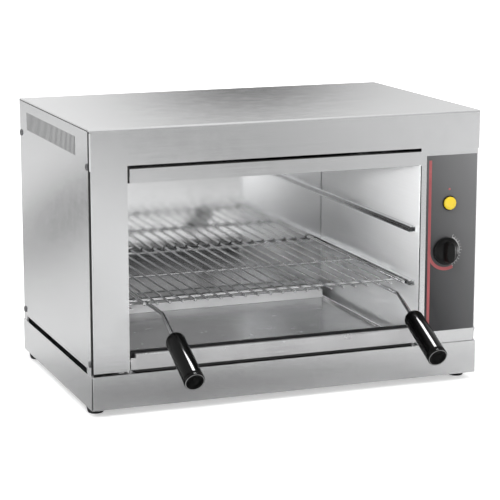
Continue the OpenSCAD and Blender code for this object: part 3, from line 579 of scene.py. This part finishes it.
# Short bars round the knob's centre: each bar is a rectangle turned to its angle.
def dialTicks(look):
    bars = []
    angles = np.radians(np.linspace(look["from"], look["to"], look["steps"] + 1))
    for index, a in enumerate(angles):
        outer = look["tickOut"] + (look["long"] if index % look["longEach"] == 0 else 0)
        half = look["tickWide"] / 2
        rect = np.array([[look["tickIn"], -half], [outer, -half], [outer, half], [look["tickIn"], half]])
        turn = np.array([[math.cos(a), math.sin(a)], [-math.sin(a), math.cos(a)]])
        bars.append(slab(rect @ turn * mm + np.array(look["centre"]) * mm, (0, overlayY, 0),
                         (1, 0, 0), (0, 0, 1), look["thick"] * mm))
    return joined(bars)


# Part of a circle on the overlay, round the dial's centre (x, z): centre + r * (cos a, sin a).
def arcPath(radius, first, last, steps):
    x, z = dialLook["centre"]
    a = np.radians(np.linspace(first, last, steps + 1))
    return np.stack([(x + radius * np.cos(a)) * mm, np.full(steps + 1, overlayY),
                     (z + radius * np.sin(a)) * mm], 1)


arc = arcPath(dialLook["arcRadius"], dialLook["from"], dialLook["to"], dialLook["arcSteps"])
points, faces = joined([dialTicks(dialLook),
                        strip(arc, outwards, dialLook["arcWide"] * mm, dialLook["thick"] * mm)])
newPiece("dialScale", points, faces, "body", whitePrint, smooth=False)

# red print: a line from top to bottom of the overlay and a bow round the knob
redLook = {"wide": 3.3, "high": 0.16, "bowWide": 3.6, "bowHigh": 0.19, "radius": 20.1, "from": 172.0,
           "to": 296.0, "lineSteps": 8, "bowSteps": 56}
low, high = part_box("red_band")
lineX = (dialLook["centre"][0] - redLook["radius"]) * mm
redLine = straight((lineX, overlayY, low[2]), (lineX, overlayY, high[2]), redLook["lineSteps"])
redBow = arcPath(redLook["radius"], redLook["from"], redLook["to"], redLook["bowSteps"])
points, faces = joined([strip(redLine, outwards, redLook["wide"] * mm, redLook["high"] * mm),
                        strip(redBow, outwards, redLook["bowWide"] * mm, redLook["bowHigh"] * mm)])
redPrint = newPiece("redPrint", points, faces, "body", finishes["red_print"])
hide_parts("red_band")
print("print made")

# lamp: a black rim with a rounded edge round the lens, and a small red mark over it. The well's points
# are measured from the lens's radius and the rim's top, its floor's from the axis and the rim's top
lampLook = {"rim": 1.0, "edge": 0.5, "high": 1.4, "well": ((0.15, 0), (-0.1, -0.4)), "floor": (0.5, -0.5),
            "edgeRings": 6, "markUp": 15.5, "mark": ((1.3, 0), (1.3, 0.05), (0.1, 0.07)), "markSides": 24}
low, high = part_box("pilot_lamp_lens")
lensRadius = (high[0] - low[0]) / 2 / mm
lampX, lampZ = boxMiddle("pilot_lamp_lens")[[0, 2]]
b = np.linspace(0, np.pi / 2, lampLook["edgeRings"])
rimOut, rimTop, rimEdge = lensRadius + lampLook["rim"], lampLook["high"], lampLook["edge"]
rimProfile = np.concatenate([
    [[rimOut, 0]],
    np.stack([rimOut - rimEdge * (1 - np.cos(b)), rimTop - rimEdge * (1 - np.sin(b))], 1),
    np.array(lampLook["well"]) + (lensRadius, rimTop),
    [np.array(lampLook["floor"]) + (0, rimTop)]])
points, faces = turned(rimProfile * mm, (lampX, overlayY, lampZ), outwards)
newPiece("lampRim", points, faces, "body", finishes["black_plastic"])
markPlace = (lampX, overlayY, lampZ + lampLook["markUp"] * mm)
points, faces = turned(np.array(lampLook["mark"]) * mm, markPlace, outwards, lampLook["markSides"])
newPiece("lampMark", points, faces, "body", finishes["red_print"])

# knob: a round skirt with a sloped top, out of which a rounded bar rises. A ring of the neck says what
# it adds to half the bar's width and to the slope's inner radius, its power, and its height over the slope
knobLook = {"barHalf": 5.5, "skirt": 3.2, "foot": 0.4, "rim": 0.7, "slopeTo": 3.6, "slopeHigh": 2.4,
            "slopeEnd": (0.3, 0.2), "neck": ((1.6, 0, 2.3, 0.25), (0.5, -0.1, 2.9, 1.0), (0, -0.3, 3.2, 2.4)),
            "taper": (0.35, 0.7), "roundIn": 1.1, "roundHigh": 1.4, "flatIn": 3.0,
            "powers": (3.4, 3.2, 3), "edgeRings": 5, "columns": 120}


# Rings of the knob: a ring of half sizes a and b, with power n, holds the points
# (a * c^(2/n), b * s^(2/n)) for the cosine c and sine s of an angle, each with its sign.
def knobRings(radius, total, look):
    r, w, skirt, rim, foot = radius, look["barHalf"], look["skirt"], look["rim"], look["foot"]
    top, inner = skirt + look["slopeHigh"], r - look["slopeTo"]
    side, front = w - look["taper"][0], inner - look["taper"][1]
    edge = [(1 - math.cos(q), 1 - math.sin(q)) for q in np.linspace(0, np.pi / 2, look["edgeRings"])]
    rings = [(r - foot, r - foot, 2, 0), (r, r, 2, foot)]
    rings += [(r - rim * drawn, r - rim * drawn, 2, skirt - rim * down) for drawn, down in edge]
    out, below = look["slopeEnd"]
    rings += [(inner + out, inner + out, 2, top - below), (inner, inner, 2, top)]
    rings += [(w + wide, inner + long, power, top + up) for wide, long, power, up in look["neck"]]
    barPower, edgePower, flatPower = look["powers"]
    rings += [(side, front, barPower, total - look["roundHigh"])]
    rings += [(side - look["roundIn"] * drawn, front - look["roundIn"] * drawn, edgePower,
               total - look["roundHigh"] * down) for drawn, down in edge[1:]]
    rings += [(w - look["flatIn"], inner - look["flatIn"], flatPower, total)]
    a, b, n, h = np.array(rings, float).T[:, :, None]
    t = np.linspace(0, 2 * np.pi, look["columns"], endpoint=False)[None, :]
    c, s = np.cos(t), np.sin(t)
    x = a * np.sign(c) * np.abs(c) ** (2 / n)
    z = b * np.sign(s) * np.abs(s) ** (2 / n)
    return np.stack([x, -h + 0 * x, z], -1)


low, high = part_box("timer_knob")
middle = boxMiddle("timer_knob")
rings = knobRings((high[0] - low[0]) / 2 / mm, (high[1] - low[1]) / mm, knobLook)
points = rings.reshape(-1, 3) * mm + (middle[0], high[1], middle[2])
knob = newPiece("knob", points, tubeFaces(*rings.shape[:2]), "knob", finishes["black_plastic"])
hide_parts("timer_knob")
print("lamp rim and knob made")

# black strips of painted shade along the gaps, seams and corners where shadow falls: each runs between two
# points on a face, in millimetres of the frame
shadeStripSteps = 6
shadeStrips = [
    {"name": "lipShadeStrip", "body": "tray", "from": (-174.6, 3.8, 47.2), "to": (145.1, 3.8, 47.2),
     "normal": (0, -1, 0), "wide": 3.6, "high": 2.8},
    {"name": "headerShadeStrip", "body": "body", "from": (-180.7, 2.4, 247.6), "to": (-180.7, 2.4, 264.5),
     "normal": (0, -1, 0), "wide": 2.2, "high": 1.9},
    {"name": "openingShadeStrip", "body": "body", "from": (152.9, 0.98, 67.0), "to": (152.9, 0.98, 246.6),
     "normal": (0, -1, 0), "wide": 0.9, "high": 0.45},
    {"name": "coverShadeStrip", "body": "body", "from": (-223.0, 4.0, 303.2), "to": (-223.0, 281.0, 303.2),
     "normal": (-1, 0, 0), "wide": 0.9, "high": 0.15},
    {"name": "cornerShadeStrip", "body": "body", "from": (-223.0, 2.3, 46.0), "to": (-223.0, 2.3, 303.0),
     "normal": (-1, 0, 0), "wide": 3.0, "high": 0.12},
    {"name": "headerTopShadeStrip", "body": "body", "from": (-180.0, 0.98, 262.7), "to": (152.4, 0.98, 262.7),
     "normal": (0, -1, 0), "wide": 1.1, "high": 0.2},
    {"name": "baseShadeStrip", "body": "body", "from": (-223.36, -0.36, 9.4), "to": (-223.36, -0.36, 44.2),
     "normal": (-0.7071, -0.7071, 0), "wide": 1.1, "high": 0.12},
    {"name": "cornerShadeLine", "body": "body", "from": (-222.2, 0.0, 46.0), "to": (-222.2, 0.0, 262.0),
     "normal": (0, -1, 0), "wide": 1.4, "high": 0.12},
]
for shadeStrip in shadeStrips:
    path = straight(inFrame(*shadeStrip["from"]), inFrame(*shadeStrip["to"]), shadeStripSteps)
    points, faces = strip(path, shadeStrip["normal"], shadeStrip["wide"] * mm, shadeStrip["high"] * mm)
    # the painted shade strips take the feet's black rubber
    newPiece(shadeStrip["name"], points, faces, shadeStrip["body"], finishes["rubber"])
print("seals made:", len(shadeStrips))

# flange turned back from the top of the tray's back wall: a folded sheet, as one closed profile swept
# along X, with points (y, z) in millimetres
flangeLook = {"profile": ((250.3, 56.4), (275.4, 57.1), (275.4, 57.9), (251.0, 57.4), (250.3, 57.0)),
              "inset": 7.8}
trayLow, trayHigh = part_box("crumb_tray")
profile = np.array(flangeLook["profile"])
flangeXs = (trayLow[0] + flangeLook["inset"] * mm, trayHigh[0] - flangeLook["inset"] * mm)
points = np.stack([np.repeat(flangeXs, len(profile)), np.tile(profile[:, 0] * mm + frontY, 2),
                   np.tile(profile[:, 1] * mm, 2)], 1)
newPiece("trayFlange", points, tubeFaces(2, len(profile)), "tray", wallSteel, smooth=False)

# painted highlight on the tray under the rack: a paler copy of the tray steel, in a strip up its back wall
# and one on each side
paintedHighlightSheet = {"dark": (0.74, 0.745, 0.75), "light": (0.88, 0.88, 0.885), "edge": (0.92, 0.92, 0.92),
             "across": 900.0, "along": 14.0, "lineTone": 0.2, "patchSize": 16.0, "patchTone": 0.2,
             "rough": 0.32, "roughLines": 0.03, "roughSpecks": 0.08, "bump": 0.04, "metallic": 0.35}
paintedHighlightSteel = sheetSteel("paintedHighlightSteel", paintedHighlightSheet)
trimLook = {"inset": 8.4, "backIn": 0.85, "low": 47.2, "high": 57.6, "thick": 0.15, "sideIn": 8.6,
            "sideUp": 50.1, "sideFrom": 9.0, "sideShort": 1.2, "sideWide": 1.6, "sideThick": 0.25, "steps": 4}
backY, backZ = trayHigh[1] - trimLook["backIn"] * mm, (trimLook["low"] + trimLook["high"]) / 2 * mm
backPath = straight((trayLow[0] + trimLook["inset"] * mm, backY, backZ),
                    (trayHigh[0] - trimLook["inset"] * mm, backY, backZ), trimLook["steps"])
trims = [strip(backPath, outwards, (trimLook["high"] - trimLook["low"]) * mm, trimLook["thick"] * mm)]
sideYs = (frontY + trimLook["sideFrom"] * mm, trayHigh[1] - trimLook["sideShort"] * mm)
for sideX in (trayLow[0] + trimLook["sideIn"] * mm, trayHigh[0] - trimLook["sideIn"] * mm):
    sidePath = straight(*[(sideX, sideY, trimLook["sideUp"] * mm) for sideY in sideYs], trimLook["steps"])
    trims.append(strip(sidePath, (0, 0, 1), trimLook["sideWide"] * mm, trimLook["sideThick"] * mm))
points, faces = joined(trims)
trayPaintedHighlight = newPiece("trayPaintedHighlight", points, faces, "tray", paintedHighlightSteel, smooth=False)
print("tray flange and trim made")

endLook = {"over": 0.04, "long": 0.75, "tip": 0.06, "rows": 6, "sides": 14}


# Rounded front end of a wire or rod: at angle a, from 0 to 90 degrees, it has the radius r * cos a and
# lies long * r * sin a in front of the end. A small flat tip closes it.
def roundEnd(centre, radius, look):
    a = np.linspace(0, np.pi / 2, look["rows"] + 1)[:-1]
    bulge = np.stack([(radius + look["over"] * mm) * np.cos(a), look["long"] * radius * np.sin(a)], 1)
    profile = np.concatenate([bulge, [[look["tip"] * mm, look["long"] * radius]]])
    return turned(profile, centre, outwards, look["sides"])


wireEnds = [roundEnd((x, wireLow[1], wireLow[2] + wireRadius), wireRadius, endLook) for x in wireXs]
for rodName in ("left_side_rod", "right_side_rod"):
    low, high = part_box(rodName)
    middle = boxMiddle(rodName)
    wireEnds.append(roundEnd((middle[0], low[1], middle[2]), (high[0] - low[0]) / 2, endLook))
points, faces = joined(wireEnds)
newPiece("wireEnds", points, faces, "rack", finishes["plated_wire"])
print("rounded wire ends made:", len(wireEnds))

# gauze behind the side vents: a woven sheet in the sill's near-black painted shade, with height = wave *
# sin(k*y) * sin(k*z)
gauzeLook = {"back": 33.0, "long": 206.0, "top": 294.5, "high": 24.0, "inset": 2.0, "pitch": 2.4,
             "wave": 0.35, "perWave": 4}
rows = int(gauzeLook["high"] / gauzeLook["pitch"] * gauzeLook["perWave"]) + 1
columns = int(gauzeLook["long"] / gauzeLook["pitch"] * gauzeLook["perWave"]) + 1
z, y = np.meshgrid(np.linspace(gauzeLook["top"] - gauzeLook["high"], gauzeLook["top"], rows),
                   np.linspace(gauzeLook["back"], gauzeLook["back"] + gauzeLook["long"], columns),
                   indexing="ij")
k = 2 * np.pi / gauzeLook["pitch"]
wave = gauzeLook["wave"] * np.sin(k * y) * np.sin(k * z)
quads = gridFaces(rows, columns, wrap=False)
for side in ("left", "right"):
    low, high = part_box(side + "_side_panel")
    isLeft = side == "left"
    skinX = low[0] + gauzeLook["inset"] * mm if isLeft else high[0] - gauzeLook["inset"] * mm
    points = np.stack([skinX + wave * mm, y * mm + frontY, z * mm], -1)
    newPiece(side + "VentGauze", points, [q[::-1] for q in quads] if isLeft else quads, "body",
             finishes["dark_sheet"])
print("vent gauze made")


# A pale matt floor that the camera and shiny surfaces see lighter than it is lit. Its glow for
# camera rays rises with the distance from the machine, so that it meets the white room.
def floorMaterial(name, look):
    constants = {"Roughness": look["rough"], "Base Color": (*look["colour"], 1),
                 "Emission Color": (1, 1, 1, 1)}
    material, tree, shader = startMaterial(name, constants)
    rays = addNode(tree, "ShaderNodeLightPath").outputs
    place = addNode(tree, "ShaderNodeTexCoord")
    distance = addNode(tree, "ShaderNodeVectorMath", operation="LENGTH")
    tree.links.new(place.outputs["Object"], distance.inputs[0])
    rising = addNode(tree, "ShaderNodeMapRange", {
        "From Min": look["near"], "From Max": look["far"], "To Min": look["glow"], "To Max": look["farGlow"]})
    tree.links.new(distance.outputs["Value"], rising.inputs["Value"])
    mirrored = combined(tree, "MAXIMUM", rays["Is Glossy Ray"], rays["Is Transmission Ray"])
    glow = combined(tree, "ADD", combined(tree, "MULTIPLY", rays["Is Camera Ray"], rising.outputs[0]),
                    combined(tree, "MULTIPLY", mirrored, look["glossGlow"]))
    tree.links.new(glow, shader.inputs["Emission Strength"])
    return material


floorLook = {"size": 24.0, "colour": (0.93, 0.93, 0.93), "rough": 0.7, "glow": 0.46, "near": 0.7,
             "far": 2.5, "farGlow": 1.0, "glossGlow": 0.06}
half = floorLook["size"] / 2
floorPoints = np.array([[-half, -half, 0], [half, -half, 0], [half, half, 0], [-half, half, 0]])
newPiece("floor", floorPoints, [[0, 1, 2, 3]], None, floorMaterial("floorPaint", floorLook), smooth=False)

# Soft-edged dark cloths round the machine that only shiny surfaces see. Each is a plane through
# centre, spanned by u and v, and fades as exp(-(a*a + b*b) / 2) along them. No two lie at one height.
cloths = [
    {"name": "topShade", "centre": (0.175, 0.50, 0.360), "u": (0.13, 0, 0), "v": (0, 0, 0.034),
     "dark": 0.96},
    {"name": "topRightShade", "centre": (0.47, 0.51, 0.41), "u": (0.14, 0, 0), "v": (0, 0, 0.12),
     "dark": 0.16},
    {"name": "frontShade", "centre": (-0.08, -0.19, 0.0010), "u": (0.225, 0, 0), "v": (0, 0.085, 0),
     "dark": 0.65},
    {"name": "streakShade", "centre": (-0.575, 1.17, 0.0011), "u": (-0.15, 0.33, 0),
     "v": (0.051, 0.0232, 0), "dark": 0.68},
    {"name": "leftShade", "centre": (-0.45, 0.62, 0.0014), "u": (0.25, 0, 0), "v": (0, 0.38, 0),
     "dark": 0.22},
    {"name": "sideShade", "centre": (-0.27, -0.02, 0.0012), "u": (0.05, 0, 0), "v": (0, 0.14, 0),
     "dark": 0.50},
    {"name": "bandShade", "centre": (0.52, -2.0, 0.0018), "u": (0.20, 0, 0), "v": (0, 0.85, 0),
     "dark": 0.80},
    {"name": "cavityShade", "centre": (-0.12, -0.76, 0.0016), "u": (0.075, 0, 0), "v": (0, 0.2, 0),
     "dark": 0.5},
]
reach = 3.0  # how many times u and v a cloth goes out from its centre
corners = [(-reach, -reach), (reach, -reach), (reach, reach), (-reach, reach)]
for cloth in cloths:
    material, tree, shader = startMaterial(cloth["name"] + "Cloth", {
        "Base Color": (0.01, 0.01, 0.01, 1), "Roughness": 0.9, "Specular IOR Level": 0.0})
    u, v = np.array(cloth["u"]), np.array(cloth["v"])
    patch = placeGroup(tree, softPatch, {
        "Centre": cloth["centre"], "Axis U": tuple(u / u.dot(u)), "Axis V": tuple(v / v.dot(v)),
        "Strength": cloth["dark"]})
    tree.links.new(patch.outputs["Mask"], shader.inputs["Alpha"])
    points = [np.array(cloth["centre"]) + a * u + b * v for a, b in corners]
    shade = newPiece(cloth["name"], points, [[0, 1, 2, 3]], None, material, smooth=False)
    shade.visible_camera = shade.visible_diffuse = shade.visible_shadow = shade.visible_transmission = False

# the room: white to the camera. To shiny surfaces it is white behind, and in front it follows the
# ramp of height and brightness; turn is where on Y the one goes over to the other
roomLook = {"diffuse": 0.55, "back": 1.05, "turn": (-0.45, 0.15), "brightest": 2.0,
            "frontRamp": ((0.20, 0.80), (0.42, 0.25), (0.66, 0.25), (0.84, 1.3))}
world = bpy.data.worlds.new("studio")
bpy.context.scene.world = world
world.use_nodes = True
sky = world.node_tree
background = sky.nodes["Background"]
background.inputs["Color"].default_value = (1, 1, 1, 1)
rays = addNode(sky, "ShaderNodeLightPath").outputs
direction = addNode(sky, "ShaderNodeTexCoord")
parts = split(sky, direction.outputs["Generated"])
ramp = addNode(sky, "ShaderNodeFloatCurve")
curve = ramp.mapping.curves[0]
# the curve holds brightness as a share of the brightest
curve.points[0].location = (0.0, roomLook["frontRamp"][0][1] / roomLook["brightest"])
curve.points[1].location = (1.0, roomLook["frontRamp"][-1][1] / roomLook["brightest"])
for height, brightness in roomLook["frontRamp"]:
    curve.points.new(height, brightness / roomLook["brightest"])
ramp.mapping.update()
sky.links.new(parts["Z"], ramp.inputs["Value"])
rising = combined(sky, "MULTIPLY", ramp.outputs[0], roomLook["brightest"])
behind = addNode(sky, "ShaderNodeMapRange", {
    "From Min": roomLook["turn"][0], "From Max": roomLook["turn"][1], "To Max": roomLook["back"]},
    interpolation_type="SMOOTHSTEP")
sky.links.new(rising, behind.inputs["To Min"])
sky.links.new(parts["Y"], behind.inputs["Value"])
mirrored = combined(sky, "MAXIMUM", rays["Is Glossy Ray"], rays["Is Transmission Ray"])
plain = spread(sky, rays["Is Camera Ray"], roomLook["diffuse"], 1.0)
strength = addNode(sky, "ShaderNodeMix", data_type="FLOAT")
sky.links.new(mirrored, strength.inputs["Factor"])
sky.links.new(plain, strength.inputs[floatMix[0]])
sky.links.new(behind.outputs[0], strength.inputs[floatMix[1]])
sky.links.new(strength.outputs[floatMix[2]], background.inputs["Strength"])

cavityPieces = [nodes[name] for name in (
    "cavity_left_wall", "cavity_right_wall", "cavity_back_wall", "crumb_tray", "left_lower_rail",
    "left_upper_rail", "right_lower_rail", "right_upper_rail")]
# "only" lists the pieces that a lamp lights and shows in; a lamp without it lights all and shows in none
lamps = [
    {"name": "keyLamp", "place": (-1.3, -1.6, 2.1), "aim": (0, 0, 0.1), "size": (1.6, 1.6), "power": 42},
    {"name": "fillLamp", "place": (1.9, -1.4, 1.3), "aim": (0, 0, 0.1), "size": (1.6, 1.6), "power": 16},
    {"name": "topLamp", "place": (0.2, 0.9, 2.4), "aim": (0, 0, 0.2), "size": (1.8, 1.8), "power": 20},
    {"name": "stripLamp", "place": (0.34, 0.85, 2.0), "aim": (0.34, 0.85, 0), "size": (1.62, 0.7),
     "power": 300, "only": gripPieces},
    {"name": "cavityLamp", "place": (-0.62, -0.70, 0.46), "aim": (0.12, 0.0, 0.2), "size": (0.3, 0.3),
     "power": 5, "only": cavityPieces},
    {"name": "snoot", "kind": "SPOT", "angle": 18, "place": (-0.75, -0.62, 0.36),
     "aim": (0.152, -0.085, 0.25), "size": (0.05, 0.05), "power": 78,
     "only": [nodes["cavity_right_wall"], nodes["right_upper_rail"]]},
    {"name": "lowLamp", "spread": 6, "place": (-0.60, -0.66, 0.085), "aim": (0.152, 0.0, 0.07),
     "size": (0.20, 0.03), "power": 0.012, "only": [nodes["cavity_right_wall"], nodes["right_lower_rail"]]},
    {"name": "trimSpot", "kind": "SPOT", "angle": 40, "place": (-0.40, -0.80, 0.30),
     "aim": (0.0, 0.16, 0.05), "size": (0.05, 0.05), "power": 34, "only": [trayPaintedHighlight]},
    {"name": "knobLamp", "place": (0.66, -0.12, 0.07), "aim": (0.18, -0.1, 0.15), "size": (0.4, 0.12),
     "power": 1.2, "only": [knob]},
]
for lamp in lamps:
    data = bpy.data.lights.new(lamp["name"], lamp.get("kind", "AREA"))
    if "angle" in lamp:
        data.spot_size = math.radians(lamp["angle"])
        data.spot_blend = 1.0
        data.shadow_soft_size = lamp["size"][0]
    else:
        data.shape = "RECTANGLE"
        data.size, data.size_y = lamp["size"]
        data.spread = math.radians(lamp.get("spread", 180))
    data.energy = lamp["power"]
    light = bpy.data.objects.new(lamp["name"], data)
    bpy.context.scene.collection.objects.link(light)
    light.location = lamp["place"]
    aim = np.array(lamp["aim"]) - np.array(lamp["place"])
    aim /= np.linalg.norm(aim)
    light.rotation_euler = (math.acos(-aim[2]), 0, math.atan2(aim[1], aim[0]) - math.pi / 2)
    light.visible_camera = False
    if "only" in lamp:
        shone = bpy.data.collections.new(lamp["name"] + "Receivers")
        light.light_linking.receiver_collection = shone
        for piece in lamp["only"]:
            shone.objects.link(piece)
    else:
        light.visible_glossy = False

cameraLook = {"place": (-0.7629, -1.9626, 0.5809), "heading": 20.90, "down": 11.63,
              "focal": 1930.8 / 500, "sensor": 36, "clipEnd": 50}  # focal is in widths of the render
cameraData = bpy.data.cameras.new("camera")
cameraData.sensor_width = cameraLook["sensor"]
cameraData.lens = cameraLook["focal"] * cameraLook["sensor"]
cameraData.clip_end = cameraLook["clipEnd"]
camera = bpy.data.objects.new("camera", cameraData)
bpy.context.scene.collection.objects.link(camera)
camera.location = cameraLook["place"]
camera.rotation_euler = (math.radians(90 - cameraLook["down"]), 0, -math.radians(cameraLook["heading"]))
bpy.context.scene.camera = camera
bpy.context.scene.view_settings.view_transform = "Standard"
print("stage, lamps and camera set")
